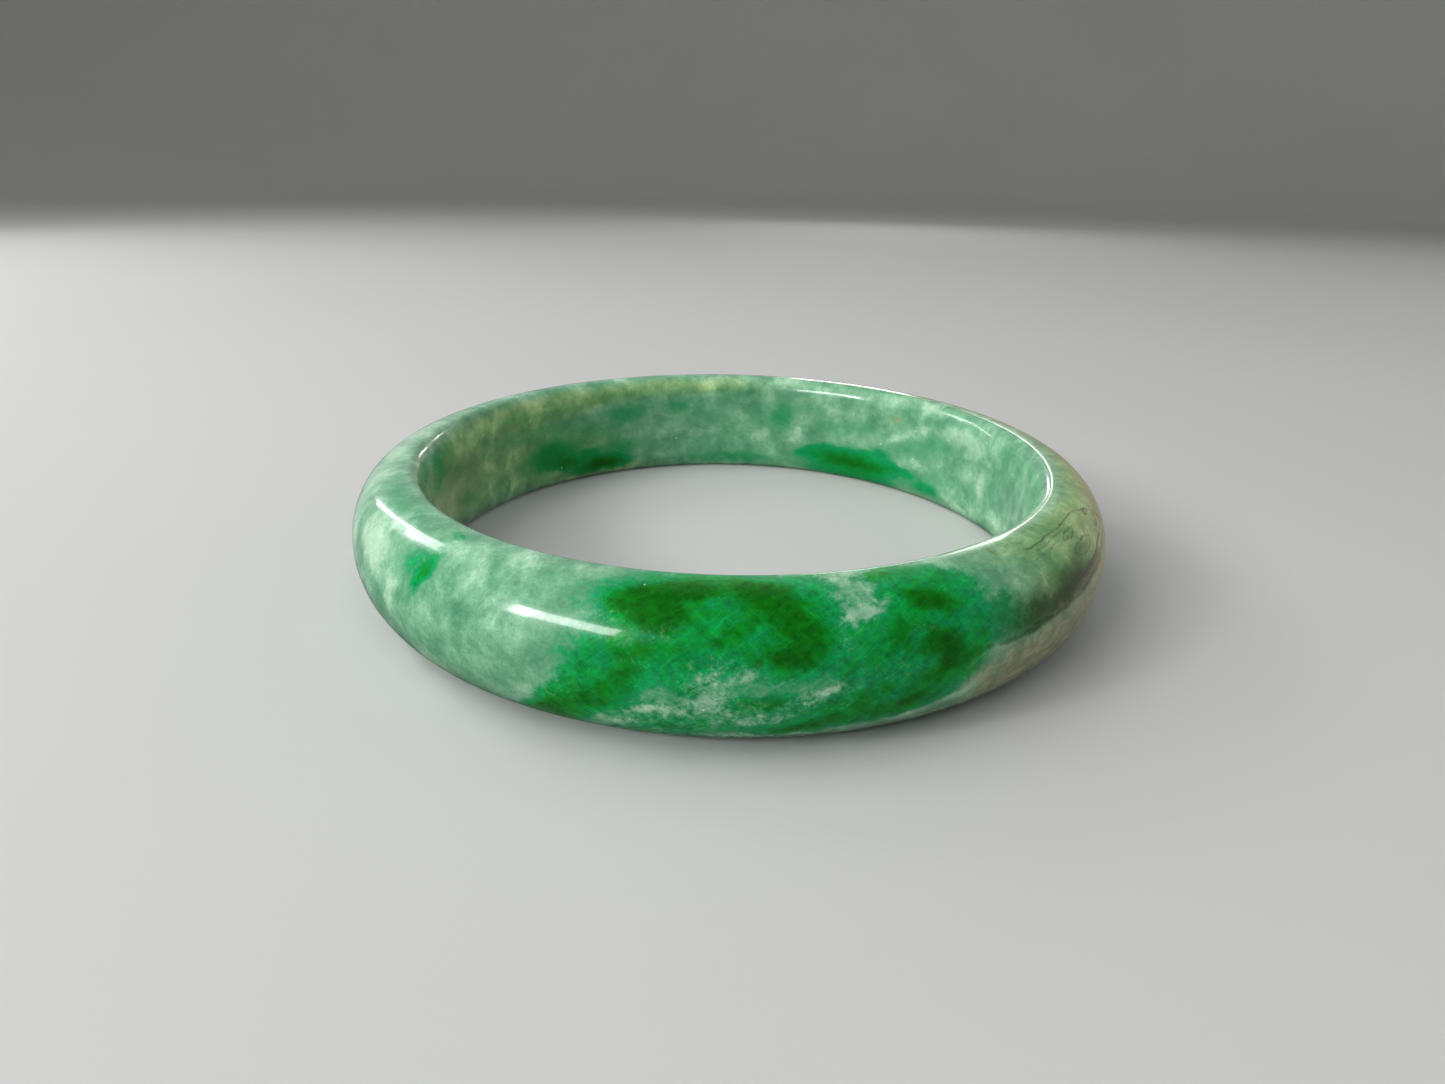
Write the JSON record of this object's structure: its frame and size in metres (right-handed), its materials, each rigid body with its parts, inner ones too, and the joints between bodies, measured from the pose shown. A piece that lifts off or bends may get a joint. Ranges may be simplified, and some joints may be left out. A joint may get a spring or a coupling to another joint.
{
  "type": "stone bangle bracelet",
  "caption": "Closed rigid bangle cut in one piece from mottled green stone: straight inner wall, eased edges, domed outside, polished all over. Slips over the hand and lies flat.",
  "frame": {"origin": "centre of the ring on the plane of its lower end, where it rests", "axes": "+Z along the ring's axis, up from the resting end; X and Y in the resting plane, with -Y towards the side with the strongest green"},
  "size_m": [0.0714, 0.0714, 0.012],
  "materials": {
    "green_stone": "high polish"
  },
  "bodies": {
    "root": {"stone_ring": "green_stone"}
  },
  "joints": []
}
